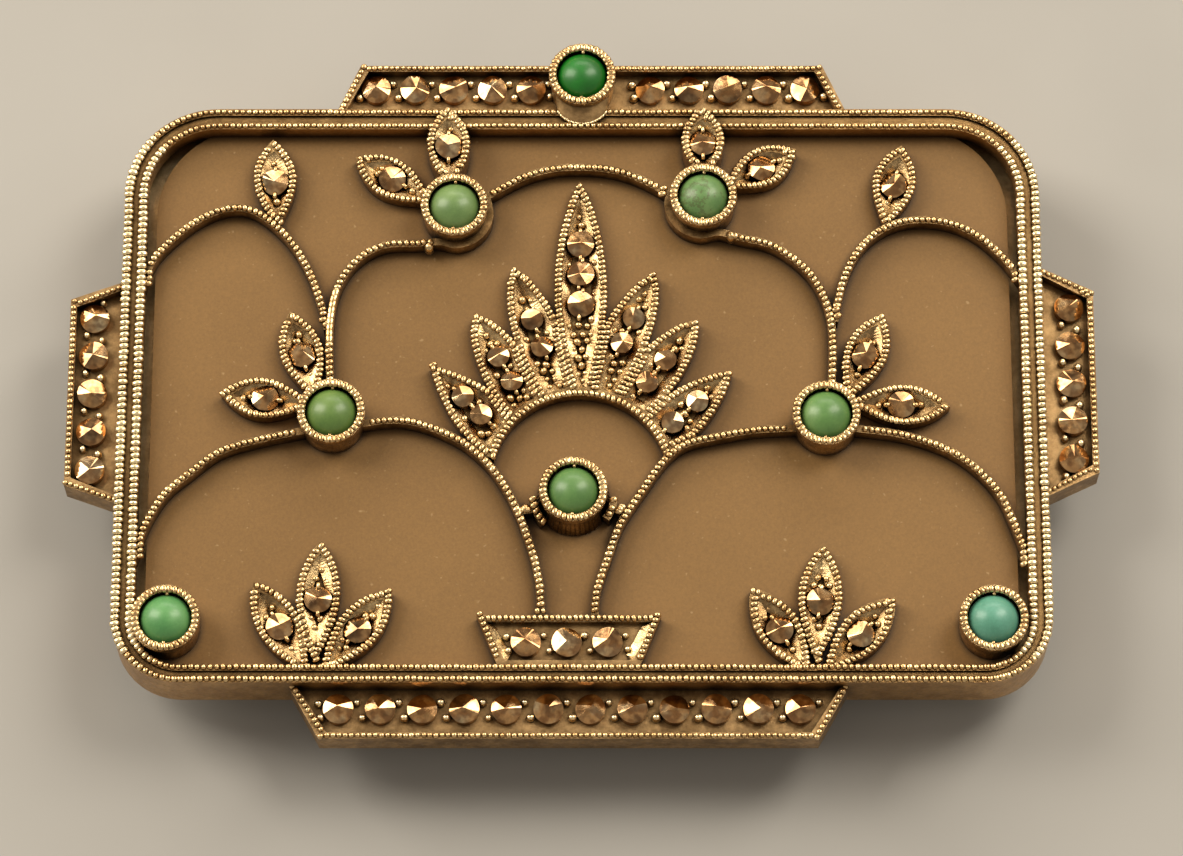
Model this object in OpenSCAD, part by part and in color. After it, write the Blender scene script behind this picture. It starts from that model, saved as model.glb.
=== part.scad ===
// Brooch: a frosted plaque in a milgrained frame, overlaid with stems, leaves,
// a palmette and a basket, with cabochons in collets and small faceted stones.
// X runs along the width, Y towards the top edge, Z up out of the front.
// The origin is under the middle of the brooch, on the surface it lies on.

/* [Frame] */
// Width over the outer wall of the frame
frame_w = 43.8; // [43:0.2:45]
// Depth of the frame, bottom edge to top edge
frame_d = 28.9; // [28.4:0.1:29.4]
// Radius of the two top corners
top_corner_r = 4.4; // [3.8:0.1:5]
// Radius of the two bottom corners
bottom_corner_r = 3.2; // [3.1:0.1:4]
// Width of the flat rim at the top and the sides
rim_w = 1.05; // [0.9:0.05:1.2]
// Height of the rim above the plaque
rim_h = 1; // [0.8:0.1:1.2]
// Thickness of the setting wall behind the rim
wall_t = 0.5; // [0.4:0.05:0.6]
// Width of each raised edge of the rim
rim_edge_w = 0.34; // [0.25:0.01:0.4]
// Thickness of the plaque
plaque_t = 1.2; // [1:0.1:1.6]
// Width of the back frame that holds the plaque
back_frame_w = 2.4; // [2:0.1:2.5]
// Thickness of the back frame and of the back bar
back_t = 0.6; // [0.5:0.05:0.8]
// Gap between the plaque and the rim at each end
end_gap = 0.42; // [0.2:0.02:0.5]
// Height of the back face above the surface the brooch lies on
standoff = 2.6; // [2.6:0.1:3]

/* [Galleries] */
// How far the side galleries and the bottom gallery stand out from the frame
gallery_d = 2.5; // [2.3:0.1:2.7]
// Thickness of a gallery's outer wall
gallery_wall = 0.3; // [0.24:0.02:0.3]
// Height of a gallery's outer wall
gallery_h = 1.6; // [1.4:0.1:1.8]
// Depth of a gallery's tray below its edge
tray_h = 0.6; // [0.4:0.1:0.7]
// Radius of a gallery stone
gallery_stone_r = 0.7; // [0.6:0.02:0.72]

/* [Collets] */
// Radius of a collet's body
collet_r = 1.5; // [1.4:0.05:1.5]
// Radius of a collet's milgrained lip
lip_r = 1.6; // [1.5:0.05:1.65]
// Height of a collet above the plaque
collet_h = 1.8; // [1.6:0.1:2]
// Depth of the seat below the lip
seat_depth = 0.9; // [0.7:0.1:1]
// Radius of a cabochon
cabochon_r = 1.18; // [1:0.02:1.2]
// Height of a cabochon's dome
dome_h = 0.7; // [0.4:0.05:0.8]

/* [Stems and leaves] */
// Width of a stem
stem_w = 0.36; // [0.34:0.02:0.5]
// Height of a stem above the plaque
stem_h = 0.8; // [0.6:0.1:1]
// Height of a leaf's wall above the plaque
leaf_h = 0.75; // [0.6:0.05:0.9]
// Thickness of a leaf's floor
leaf_floor = 0.35; // [0.25:0.05:0.45]
// Width of a leaf's wall
leaf_wall = 0.28; // [0.2:0.02:0.34]
// Width of a leaf at its widest
leaf_w = 2; // [1.9:0.1:2.2]
// Radius of a leaf stone
leaf_stone_r = 0.64; // [0.5:0.02:0.68]
// Radius of a basket stone
basket_stone_r = 0.7; // [0.6:0.02:0.74]
// Radius of a small palmette stone
small_stone_r = 0.52; // [0.4:0.02:0.56]

/* [Pin and catch] */
// Height of the pin line on the back, from the middle of the brooch
pin_y = 4; // [2:0.5:5]
// Distance from the pin's hinge to the middle of the brooch
hinge_x = 16.5; // [15:0.5:17]
// Distance from the catch to the middle of the brooch
catch_x = 16; // [14:0.5:16.5]
// Radius of the pin
pin_r = 0.45; // [0.35:0.05:0.5]
// Width of the back bar
bar_w = 2.8; // [2.4:0.1:3.2]
// Running clearance on the rivet and round the catch rotor
fit_gap = 0.03; // [0.02:0.01:0.05]

/* [Hidden] */

$fn = 96;
eps = 0.01;
frame_y = -0.25;                      // middle of the frame in Y
bottom_share = 0.8;                   // the rim is this much narrower along the bottom
z_back = standoff;
z_seat = z_back + back_t;
z_plaque = z_seat + plaque_t;
z_rim = z_plaque + rim_h;
rim_channel_h = 0.15;                 // depth of the plain channel between the rim's edges
frame_top = frame_y + frame_d / 2;
frame_bottom = frame_y - frame_d / 2;
plaque_gap = 0.03;
plaque_top_r = 4.6;
plaque_bottom_r = 2.6;

// Heights of the galleries
z_tray = z_plaque - 0.3;              // floor that the gallery stones stand on
z_gallery_top = z_tray + tray_h;
z_gallery = z_gallery_top - gallery_h;
tray_floor_t = 0.4;
gallery_side = gallery_wall * 1.25;   // wall of a slanted end, measured along the gallery

// Galleries: width at the frame, width at the outer edge, place of the middle
top_gallery_w = [24.8, 22.4, 0.45];
bottom_gallery_w = [26, 23.2, -0.6];
left_gallery_w = [11.2, 9.4, -0.1];
right_gallery_w = [11.6, 9.2, 0.45];
top_gallery_d = gallery_d + 0.1;
top_stone_pitch = 1.88;
top_left_stone_x = -10;
top_right_stone_x = 3.3;
top_stones_each_side = 5;
bottom_stone_pitch = 1.95;
bottom_stone_x = -11.3;
bottom_stone_count = 12;
side_stone_pitch = 1.92;
side_stone_count = 5;
left_stone_y = -3.95;
right_stone_y = -3.4;
stone_inset = gallery_wall + gallery_stone_r + 0.15;   // from the outer edge to a stone's middle
bottom_stone_inset = 1.5;

// Places of the collets
top_collet_at = [0, frame_top + collet_r];
upper_left_at = [-6.1, 8.9];
upper_right_at = [5.8, 9.4];
mid_left_at = [-11.8, -1.6];
mid_right_at = [11.5, -1.7];
centre_at = [-0.4, -5.5];
lower_left_at = [-19.3, -11.8];
lower_right_at = [19.1, -11.8];
plaque_collets = [upper_left_at, upper_right_at, mid_left_at, mid_right_at, centre_at];
lip_h = 0.35;                         // height of the lip's upright part
cabochon_gap = 0.06;
girdle_h = 0.6;
centre_foot_r = 1.72;                 // the centre collet spreads to this radius at its foot
centre_foot_h = 0.8;
lug_r = centre_foot_r + stem_w / 2;

// Centre lines of the stems, each a smooth curve through these points
nest_r = collet_r + stem_w / 2;       // a shoulder passes round its collet at this radius
centre_arch_line = [[-4.6, 9.7], [-3, 10.65], [-1.5, 11.15], [0, 11.25], [1.5, 11.1], [3, 10.55],
    [4.4, 9.7]];
left_shoulder_line = concat(nest_points(upper_left_at, 25, -115),
    [[-8, 7.3], [-9.5, 7.2], [-10.8, 6.4], [-11.7, 4.9], [-12, 2.8], [-11.9, -0.2]]);
right_shoulder_line = concat(nest_points(upper_right_at, 155, 295),
    [[7.6, 7.6], [9.3, 7.1], [10.9, 5.7], [11.7, 4], [11.9, 2.3], [11.8, -0.3]]);
left_outer_line = [[-21, 5], [-20.4, 6.6], [-18.7, 8.3], [-17, 9.1], [-15.6, 8.9], [-14.1, 7.6],
    [-13.1, 6], [-12.5, 4.4], [-12.1, 2.9]];
right_outer_line = [[21.1, 5.2], [20.1, 6.6], [18.8, 7.8], [17.4, 8.4], [15.8, 8.5], [14.5, 8.1],
    [13.5, 7.3], [12.8, 6.2], [12.3, 4.8], [12, 3.3]];
left_lower_line = [[-21, -8.7], [-20.5, -7], [-19.6, -5.4], [-18.5, -4.4], [-17.1, -3.3],
    [-15.3, -2.7], [-13, -2.2]];
right_lower_line = [[21, -9], [20.3, -7], [19.5, -5.2], [17.8, -3.5], [15.4, -2.5], [12.7, -2.1]];
left_vase_line = [[-10.5, -1.9], [-9, -1.7], [-7.6, -1.9], [-5.8, -2.7], [-4.5, -3.8],
    [-3.7, -4.9], [-3, -6.3], [-2.4, -8], [-2, -9.7], [-1.9, -11.5]];
right_vase_line = [[10.2, -2.1], [8.2, -2.2], [6.5, -2.5], [4.9, -2.9], [3.9, -3.7],
    [2.8, -5.3], [1.8, -6.9], [1.2, -8.6], [0.7, -10.2], [0.6, -11.5]];
left_lug_line = nest_points(centre_at, 184, 222, lug_r);
right_lug_line = nest_points(centre_at, -36, -4, lug_r);
left_link_line = [[-3.05, -6.2], [-2.6, -6.2], [-2.2, -6.1]];
right_link_line = [[2.25, -6.2], [1.85, -6.2], [1.45, -6.1]];
spline_steps = 4;

// Leaves: tip and base of each; a leaf is widest a little nearer to its tip
leaf_belly = 0.85;
upper_left_side = [[-10.9, 11.8], [-7.2, 9.4]];
upper_left_tall = [[-6.5, 14], [-6.3, 9.7]];
upper_right_side = [[10.3, 12.2], [6.8, 10.2]];
upper_right_tall = [[5.8, 14], [5.8, 10.1]];
mid_left_side = [[-17.1, -0.3], [-12.7, -0.9]];
mid_left_tall = [[-13.9, 3.8], [-12.6, -0.7]];
mid_right_side = [[17.4, -1], [12.6, -0.8]];
mid_right_tall = [[14.3, 3.7], [12.5, -0.7]];
lone_left = [[-14.9, 12.7], [-14.6, 8.1]];
lone_right = [[15.4, 12.4], [14.5, 8.1]];
left_spray_leaves = [[[-12.2, -7.7], [-12.4, -13.7]], [[-15.3, -9.7], [-12.7, -14.3]],
    [[-8.9, -10.1], [-12.1, -14.2]]];
right_spray_leaves = [[[11.3, -7.9], [10.9, -13.7]], [[7.9, -10], [10.6, -14.3]],
    [[14.6, -10.5], [11.2, -14.2]]];
leaf_stone_at = 0.48;                 // a leaf's stone, as a share of its length from the tip
z_tall_leaf = z_rim + leaf_floor + 0.4;   // the two tall upper leaves lie over the rim

// Palmette: tip and base of each leaf, how far its stones are from its tip, its width and its belly
palmette_centre = [[-0.1, 10.5], [0, -1.6], [3.25, 4.75, 6.3], 2.45, 0.9];
palmette_left = [[[-3.3, 6.1], [0, -3.5], [2.85, 4.3], 2.3, 0.8],
    [[-5.1, 3.7], [-1.2, -3.8], [2.45, 3.85], 2.3, 0.8],
    [[-7.2, 1.1], [-1.6, -4.7], [2.25, 3.5], 2.6, 1.05]];
palmette_right = [[[3.5, 5.8], [-0.6, -3.4], [2.55, 3.95], 2.3, 0.8],
    [[5.5, 3.4], [0.2, -3.6], [2.55, 4], 2.3, 0.8],
    [[7.1, 0.8], [1.4, -4.5], [2.25, 3.85], 2.4, 0.95]];
palmette_rows = [concat([palmette_centre], palmette_left), concat([palmette_centre], palmette_right)];
palmette_fullness = 0.85;             // under 1, a leaf is fuller towards its ends
palmette_overlap = 0.02;              // neighbouring leaves run into each other this far
palmette_arc_at = [-0.1, -4.6];
palmette_arc_r = 4.15;
palmette_arc_w = 0.4;

// Basket: middle, width at the top and at the bottom
basket_x = -0.6;
basket_top_y = -11.35;
basket_bottom_y = frame_bottom + bottom_share * rim_w;
basket_top_w = 8.6;
basket_bottom_w = 6.6;
basket_wall = 0.3;
basket_stone_x = [-2.6, -0.7, 1.2];
basket_stone_y = -12.65;

// Stones
stone_girdle_h = 0.28;
stone_crown_h = 0.42;
stone_table_r = 0.1;

// Pin and catch
catch_r = standoff / 2;               // the catch housing fills the space under the back face
pin_z = catch_r;                      // height of the pin's axis
pivot_x = -hinge_x;
rivet_r = 0.35;
eye_r = 0.95;
eye_w = 1.1;
fork_gap = 0.06;
cheek_t = 0.6;
cheek_r = 1.1;
fork_base_t = 0.25;
cheek_foot = 1.15;                    // how far the fork's base reaches from the pivot
tang_l = 1.8;                         // the pin is flat-sided up to this distance from the pivot
tang_h = 1;
rivet_head_t = 0.25;
rivet_head_r = 0.6;
pin_taper_x = catch_x - 1.6;          // the pin is straight up to here
pin_tip_x = catch_x + 2.4;
pin_tip_r = 0.06;
housing_w = 2;
groove_w = 1;
groove_r = 1.02;
housing_bore_r = 0.62;
slot_w = 1.12;
rotor_bore_r = 0.56;
rotor_side_gap = 0.05;
lever_w = 0.5;
lever_t = 0.45;
lever_r = 1.9;
lever_rest = 115;                     // angle of the lever from straight down, catch open
lever_travel = 75;
lever_slit_margin = 22;               // the slit runs this far past the lever's travel
catch_foot_w = 1.5;

silver = [0.74, 0.70, 0.60];
dark_silver = [0.55, 0.52, 0.45];
marcasite = [0.35, 0.30, 0.25];

// ---------- curves ----------

function nest_points(at, from, to, r = nest_r) =
    [for (i = [0:5]) let (a = from + (to - from) * i / 5) at + r * [cos(a), sin(a)]];

function curve_point(a, b, c, d, t) = 0.5 * (2 * b + (c - a) * t
    + (2 * a - 5 * b + 4 * c - d) * t * t + (3 * b - a - 3 * c + d) * t * t * t);

function neighbour(points, i) = points[max(0, min(len(points) - 1, i))];

function curve(points) = concat(
    [for (i = [0:len(points) - 2], k = [0:spline_steps - 1])
        curve_point(neighbour(points, i - 1), points[i], points[i + 1], neighbour(points, i + 2),
            k / spline_steps)],
    [points[len(points) - 1]]);

function side_step(line, i, w) =
    let (d = neighbour(line, i + 1) - neighbour(line, i - 1)) line[i] + w * [-d[1], d[0]] / norm(d);

// A strip of width stem_w along a smooth curve
module ribbon(points) {
    line = curve(points);
    last = len(line) - 1;
    polygon(concat([for (i = [0:last]) side_step(line, i, stem_w / 2)],
        [for (i = [last:-1:0]) side_step(line, i, -stem_w / 2)]));
}

// ---------- outlines ----------

// A rectangle about X = 0 with one radius at its top corners and one at its bottom corners
module rounded_outline(w, bottom, top, top_r, bottom_r) {
    translate([-w / 2, bottom + bottom_r]) square([w, top - top_r - bottom - bottom_r]);
    translate([-w / 2 + top_r, top - top_r - 1]) square([w - 2 * top_r, top_r + 1]);
    translate([-w / 2 + bottom_r, bottom]) square([w - 2 * bottom_r, bottom_r + 1]);
    for (side = [-1, 1]) {
        translate([side * (w / 2 - top_r), top - top_r]) circle(top_r);
        translate([side * (w / 2 - bottom_r), bottom + bottom_r]) circle(bottom_r);
    }
}

// The outline of the frame, drawn in by inset all round
module frame_outline(inset) {
    rounded_outline(frame_w - 2 * inset, frame_bottom + bottom_share * inset, frame_top - inset,
        top_corner_r - inset, bottom_corner_r - inset);
}

module trapezoid(near_w, far_w, depth) {
    polygon([[-near_w / 2, 0], [near_w / 2, 0], [far_w / 2, depth], [-far_w / 2, depth]]);
}

// A pointed leaf from tip to base, drawn in by inset all round; a lower belly makes its tip fuller
module leaf_outline(leaf, w, inset = 0, belly = leaf_belly, fullness = 1) {
    steps = 14;
    end = inset * 2.2;
    length = norm(leaf[1] - leaf[0]) - 2 * end;
    along = (leaf[1] - leaf[0]) / norm(leaf[1] - leaf[0]);
    across = [-along[1], along[0]];
    start = leaf[0] + end * along;
    function half(t) = (w / 2 - inset) * pow(sin(180 * pow(t, belly)), fullness);
    polygon(concat(
        [for (i = [0:steps]) start + along * length * i / steps + across * half(i / steps)],
        [for (i = [steps - 1:-1:1]) start + along * length * i / steps - across * half(i / steps)]));
}

module collet_discs(places) {
    for (at = places) translate(at) circle(collet_r);
}

function on_leaf(leaf, share) = leaf[0] + (leaf[1] - leaf[0]) * share;

function from_tip(leaf, distance) = on_leaf(leaf, distance / norm(leaf[1] - leaf[0]));

// ---------- parts that repeat ----------

module stone(at, z, r) {
    translate([at[0], at[1], z]) {
        cylinder(h = stone_girdle_h, r = r);
        translate([0, 0, stone_girdle_h]) cylinder(h = stone_crown_h, r1 = r, r2 = stone_table_r);
    }
}

module gallery_stone(x, y) {
    stone([x, y], z_tray, gallery_stone_r);
}

module seat(at, r) {
    translate([at[0], at[1], z_plaque + leaf_floor]) cylinder(h = 3, r = r);
}

// A collet: an open cup with a lip; its floor is the cabochon's seat
module collet(at, z = z_plaque) {
    top = z_plaque + collet_h;
    h = top - z;
    seat_z = h - seat_depth;
    bore_r = cabochon_r + cabochon_gap;
    translate([at[0], at[1], z]) rotate_extrude()
        polygon([[0, 0], [collet_r, 0], [collet_r, h - 2 * lip_h], [lip_r, h - lip_h], [lip_r, h],
            [bore_r, h], [bore_r, seat_z], [0, seat_z]]);
}

module cabochon(at) {
    ball_r = (cabochon_r * cabochon_r + dome_h * dome_h) / (2 * dome_h);
    translate([at[0], at[1], z_plaque + collet_h - seat_depth]) intersection() {
        cylinder(h = girdle_h + dome_h, r = cabochon_r);
        translate([0, 0, girdle_h + dome_h - ball_r]) sphere(ball_r);
    }
}

module stem(points) {
    translate([0, 0, z_plaque]) linear_extrude(stem_h) difference() {
        intersection() {
            ribbon(points);
            frame_outline(rim_w);
        }
        collet_discs(plaque_collets);
        children();
    }
}

// A leaf with a floor and a wall, cut back to the rim, the collets and the children given
module leaf(leaf) {
    difference() {
        translate([0, 0, z_plaque]) linear_extrude(leaf_h) difference() {
            intersection() {
                leaf_outline(leaf, leaf_w);
                frame_outline(rim_w);
            }
            collet_discs(plaque_collets);
            children();
        }
        translate([0, 0, z_plaque + leaf_floor]) linear_extrude(leaf_h)
            leaf_outline(leaf, leaf_w, leaf_wall);
        seat(on_leaf(leaf, leaf_stone_at), leaf_stone_r);
    }
}

// An upper leaf that rises to lie over the rim
module tall_leaf(leaf) {
    difference() {
        translate([0, 0, z_plaque]) linear_extrude(z_tall_leaf - z_plaque) difference() {
            leaf_outline(leaf, leaf_w);
            collet_discs(plaque_collets);
        }
        translate([0, 0, z_plaque - eps]) linear_extrude(rim_h + eps) difference() {
            frame_outline(-1);
            frame_outline(rim_w);
        }
        translate([0, 0, z_rim + leaf_floor]) linear_extrude(1) leaf_outline(leaf, leaf_w, leaf_wall);
        translate(concat(on_leaf(leaf, leaf_stone_at), z_rim + leaf_floor))
            cylinder(h = 1, r = leaf_stone_r);
        for (at = [upper_left_at, upper_right_at])
            translate([at[0], at[1], z_plaque]) cylinder(h = collet_h, r = lip_r);
    }
}

module spray(leaves) {
    difference() {
        for (one = leaves) leaf(one);
        for (one = leaves) seat(on_leaf(one, leaf_stone_at), leaf_stone_r);
    }
}

module leaf_stone(leaf) {
    stone(on_leaf(leaf, leaf_stone_at), z_plaque + leaf_floor, leaf_stone_r);
}

// A gallery: a tray with a skirt, its near side against the frame
module gallery(w, depth) {
    translate([w[2], 0, z_gallery]) difference() {
        linear_extrude(gallery_h) trapezoid(w[0], w[1], depth);
        translate([0, -eps, gallery_h - tray_h]) linear_extrude(tray_h + 1)
            trapezoid(w[0] - 2 * gallery_side, w[1] - 2 * gallery_side, depth - gallery_wall + eps);
        translate([0, -eps, -1]) linear_extrude(gallery_h - tray_h - tray_floor_t + 1)
            trapezoid(w[0] - 2 * gallery_side, w[1] - 2 * gallery_side, depth - gallery_wall + eps);
    }
}

// ---------- frame ----------

module plaque() color([0.55, 0.44, 0.30]) translate([0, 0, z_seat]) linear_extrude(plaque_t) {
    edge = wall_t + plaque_gap;
    rounded_outline(frame_w - 2 * (rim_w + end_gap), frame_bottom + edge, frame_top - edge,
        plaque_top_r, plaque_bottom_r);
}

module frame_band() color(silver) difference() {
    translate([0, 0, z_back]) linear_extrude(z_rim - z_back) frame_outline(0);
    translate([0, 0, z_back - 1]) linear_extrude(z_plaque - z_back + 1) frame_outline(wall_t);
    translate([0, 0, z_plaque - eps]) linear_extrude(rim_h + 1) frame_outline(rim_w);
    translate([0, 0, z_rim - rim_channel_h]) linear_extrude(1) difference() {
        frame_outline(rim_edge_w);
        frame_outline(rim_w - rim_edge_w);
    }
}

module back_frame() color(dark_silver) translate([0, 0, z_back]) linear_extrude(back_t) difference() {
    frame_outline(wall_t);
    frame_outline(wall_t + back_frame_w);
}

// ---------- galleries ----------

module top_gallery() color(silver) difference() {
    translate([0, frame_top, 0]) gallery(top_gallery_w, top_gallery_d);
    translate(concat(top_collet_at, z_tray)) cylinder(h = 3, r = collet_r);
}
module bottom_gallery() color(silver) translate([0, frame_bottom, 0]) mirror([0, 1, 0])
    gallery(bottom_gallery_w, gallery_d);
module left_gallery() color(silver) translate([-frame_w / 2, 0, 0]) rotate(90)
    gallery(left_gallery_w, gallery_d);
module right_gallery() color(silver) translate([frame_w / 2, 0, 0]) rotate(-90)
    gallery([right_gallery_w[0], right_gallery_w[1], -right_gallery_w[2]], gallery_d);

module top_gallery_stones() color(marcasite)
    for (x = [top_left_stone_x, top_right_stone_x], i = [0:top_stones_each_side - 1])
        gallery_stone(x + i * top_stone_pitch, frame_top + top_gallery_d - stone_inset);
module bottom_gallery_stones() color(marcasite) for (i = [0:bottom_stone_count - 1])
    gallery_stone(bottom_stone_x + i * bottom_stone_pitch, frame_bottom - gallery_d + bottom_stone_inset);
module left_gallery_stones() color(marcasite) for (i = [0:side_stone_count - 1])
    gallery_stone(-frame_w / 2 - gallery_d + stone_inset, left_stone_y + i * side_stone_pitch);
module right_gallery_stones() color(marcasite) for (i = [0:side_stone_count - 1])
    gallery_stone(frame_w / 2 + gallery_d - stone_inset, right_stone_y + i * side_stone_pitch);

// ---------- collets and cabochons ----------

module top_collet() color(silver) collet(top_collet_at, z_tray);
module upper_left_collet() color(silver) collet(upper_left_at);
module upper_right_collet() color(silver) collet(upper_right_at);
module mid_left_collet() color(silver) collet(mid_left_at);
module mid_right_collet() color(silver) collet(mid_right_at);
module centre_collet() color(silver) {
    collet(centre_at);
    translate([centre_at[0], centre_at[1], z_plaque])
        cylinder(h = centre_foot_h, r1 = centre_foot_r, r2 = collet_r);
}
module lower_left_collet() color(silver) collet(lower_left_at);
module lower_right_collet() color(silver) collet(lower_right_at);

module top_cabochon() color([0.05, 0.45, 0.28]) cabochon(top_collet_at);
module upper_left_cabochon() color([0.40, 0.68, 0.48]) cabochon(upper_left_at);
module upper_right_cabochon() color([0.28, 0.62, 0.45]) cabochon(upper_right_at);
module mid_left_cabochon() color([0.25, 0.60, 0.35]) cabochon(mid_left_at);
module mid_right_cabochon() color([0.22, 0.58, 0.36]) cabochon(mid_right_at);
module centre_cabochon() color([0.22, 0.57, 0.38]) cabochon(centre_at);
module lower_left_cabochon() color([0.18, 0.55, 0.42]) cabochon(lower_left_at);
module lower_right_cabochon() color([0.25, 0.62, 0.60]) cabochon(lower_right_at);

// ---------- stems ----------

module centre_arch() color(silver) stem(centre_arch_line) {
    ribbon(left_shoulder_line);
    ribbon(right_shoulder_line);
}
module left_shoulder() color(silver) stem(left_shoulder_line);
module right_shoulder() color(silver) stem(right_shoulder_line);
module left_outer_arch() color(silver) stem(left_outer_line) ribbon(left_shoulder_line);
module right_outer_arch() color(silver) stem(right_outer_line) ribbon(right_shoulder_line);
module left_lower_arch() color(silver) stem(left_lower_line);
module right_lower_arch() color(silver) stem(right_lower_line);
module left_vase_stem() color(silver) stem(left_vase_line) basket_outline();
module right_vase_stem() color(silver) stem(right_vase_line) basket_outline();
module collet_lugs() color(silver) {
    stem(left_lug_line);
    stem(left_link_line) ribbon(left_vase_line);
    stem(right_lug_line);
    stem(right_link_line) ribbon(right_vase_line);
}

// ---------- palmette and basket ----------

module palmette_clear() {
    translate(palmette_arc_at) circle(palmette_arc_r);
    ribbon(left_vase_line);
    ribbon(right_vase_line);
}

module palmette_arc() difference() {
    intersection() {
        translate(palmette_arc_at) circle(palmette_arc_r + palmette_arc_w);
        translate([-5, -3.5]) square([9.8, 5]);
    }
    palmette_clear();
}

module palmette_shape(leaf, inset = 0) leaf_outline(leaf, leaf[3], inset, leaf[4], palmette_fullness);

// The outline of leaf i of a row, cut back to the arc, the stems and the leaf before it
module palmette_outline(row, i) difference() {
    palmette_shape(row[i]);
    if (i > 0) palmette_shape(row[i - 1], palmette_overlap);
    palmette_clear();
}

module palmette_leaf(row, i) difference() {
    linear_extrude(leaf_h) palmette_outline(row, i);
    translate([0, 0, leaf_floor]) linear_extrude(leaf_h) offset(delta = -leaf_wall)
        palmette_outline(row, i);
}

module palmette() color(silver) difference() {
    translate([0, 0, z_plaque]) {
        palmette_leaf(palmette_rows[0], 0);
        for (row = palmette_rows, i = [1:len(row) - 1]) palmette_leaf(row, i);
        linear_extrude(leaf_h) palmette_arc();
    }
    for (distance = palmette_centre[2]) seat(from_tip(palmette_centre, distance), leaf_stone_r);
    for (leaf = concat(palmette_left, palmette_right), distance = leaf[2])
        seat(from_tip(leaf, distance), small_stone_r);
}

module palmette_stones() color(marcasite) {
    for (distance = palmette_centre[2])
        stone(from_tip(palmette_centre, distance), z_plaque + leaf_floor, leaf_stone_r);
    for (leaf = concat(palmette_left, palmette_right), distance = leaf[2])
        stone(from_tip(leaf, distance), z_plaque + leaf_floor, small_stone_r);
}

module basket_outline(inset = 0) {
    translate([basket_x, basket_bottom_y + inset])
        trapezoid(basket_bottom_w - 2.2 * inset, basket_top_w - 2.2 * inset,
            basket_top_y - basket_bottom_y - 2 * inset);
}

module basket() color(silver) translate([0, 0, z_plaque]) difference() {
    linear_extrude(leaf_h) basket_outline();
    translate([0, 0, leaf_floor]) linear_extrude(leaf_h) basket_outline(basket_wall);
}

module basket_stones() color(marcasite)
    for (x = basket_stone_x) stone([x, basket_stone_y], z_plaque + leaf_floor, basket_stone_r);

// ---------- leaves ----------

module left_spray() color(silver) spray(left_spray_leaves);
module right_spray() color(silver) spray(right_spray_leaves);
module left_spray_stones() color(marcasite) for (one = left_spray_leaves) leaf_stone(one);
module right_spray_stones() color(marcasite) for (one = right_spray_leaves) leaf_stone(one);

module upper_left_leaves() color(silver) {
    leaf(upper_left_side);
    tall_leaf(upper_left_tall);
}
module upper_right_leaves() color(silver) {
    leaf(upper_right_side);
    tall_leaf(upper_right_tall);
}
module mid_left_leaves() color(silver) {
    leaf(mid_left_side);
    leaf(mid_left_tall) ribbon(left_shoulder_line);
}
module mid_right_leaves() color(silver) {
    leaf(mid_right_side);
    leaf(mid_right_tall) ribbon(right_shoulder_line);
}
module lone_left_leaf() color(silver) leaf(lone_left) ribbon(left_outer_line);
module lone_right_leaf() color(silver) leaf(lone_right) ribbon(right_outer_line);

module tall_leaf_stone(leaf) {
    stone(on_leaf(leaf, leaf_stone_at), z_rim + leaf_floor, leaf_stone_r);
}
module left_leaf_stones() color(marcasite) {
    for (one = [upper_left_side, mid_left_side, mid_left_tall, lone_left]) leaf_stone(one);
    tall_leaf_stone(upper_left_tall);
}
module right_leaf_stones() color(marcasite) {
    for (one = [upper_right_side, mid_right_side, mid_right_tall, lone_right]) leaf_stone(one);
    tall_leaf_stone(upper_right_tall);
}

// ---------- back bar, pin and catch ----------

module back_bar() color(dark_silver) {
    length = frame_w - 2 * (wall_t + back_frame_w);
    translate([-length / 2, pin_y - bar_w / 2, z_back]) cube([length, bar_w, back_t]);
}

// Turns a cylinder's axis to Y, with its middle on the pivot
module along_pivot(h, r) {
    translate([pivot_x, pin_y, pin_z]) rotate([90, 0, 0]) cylinder(h = h, r = r, center = true);
}

module pin_hinge() color(silver) difference() {
    outer_w = eye_w + 2 * (fork_gap + cheek_t);
    union() {
        along_pivot(outer_w, cheek_r);
        translate([pivot_x - cheek_foot, pin_y - outer_w / 2, z_back - fork_base_t])
            cube([2 * cheek_foot, outer_w, fork_base_t]);
        translate([pivot_x - cheek_r, pin_y - outer_w / 2, pin_z])
            cube([2 * cheek_r, outer_w, z_back - pin_z]);
    }
    translate([pivot_x - 3, pin_y - eye_w / 2 - fork_gap, -1])
        cube([6, eye_w + 2 * fork_gap, z_back - fork_base_t + 1]);
    along_pivot(outer_w + 1, rivet_r);
}

module hinge_rivet() color(dark_silver) {
    outer_w = eye_w + 2 * (fork_gap + cheek_t);
    along_pivot(outer_w, rivet_r);
    for (side = [-1, 1])
        translate([0, side * (outer_w + rivet_head_t) / 2, 0]) along_pivot(rivet_head_t, rivet_head_r);
}

module pin_stem() color([0.78, 0.76, 0.70]) difference() {
    union() {
        along_pivot(eye_w, eye_r);
        translate([pivot_x, pin_y - eye_w / 2, pin_z - tang_h / 2]) cube([tang_l, eye_w, tang_h]);
        translate([pivot_x, pin_y, pin_z]) rotate([0, 90, 0])
            cylinder(h = pin_taper_x - pivot_x, r = pin_r);
        translate([pin_taper_x, pin_y, pin_z]) rotate([0, 90, 0])
            cylinder(h = pin_tip_x - pin_taper_x, r1 = pin_r, r2 = pin_tip_r);
    }
    along_pivot(eye_w + 1, rivet_r + fit_gap);
}

// Turns a cylinder's axis to X, centred on the catch
module along_catch(h, r) {
    translate([catch_x, pin_y, pin_z]) rotate([0, 90, 0]) cylinder(h = h, r = r, center = true);
}

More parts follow.
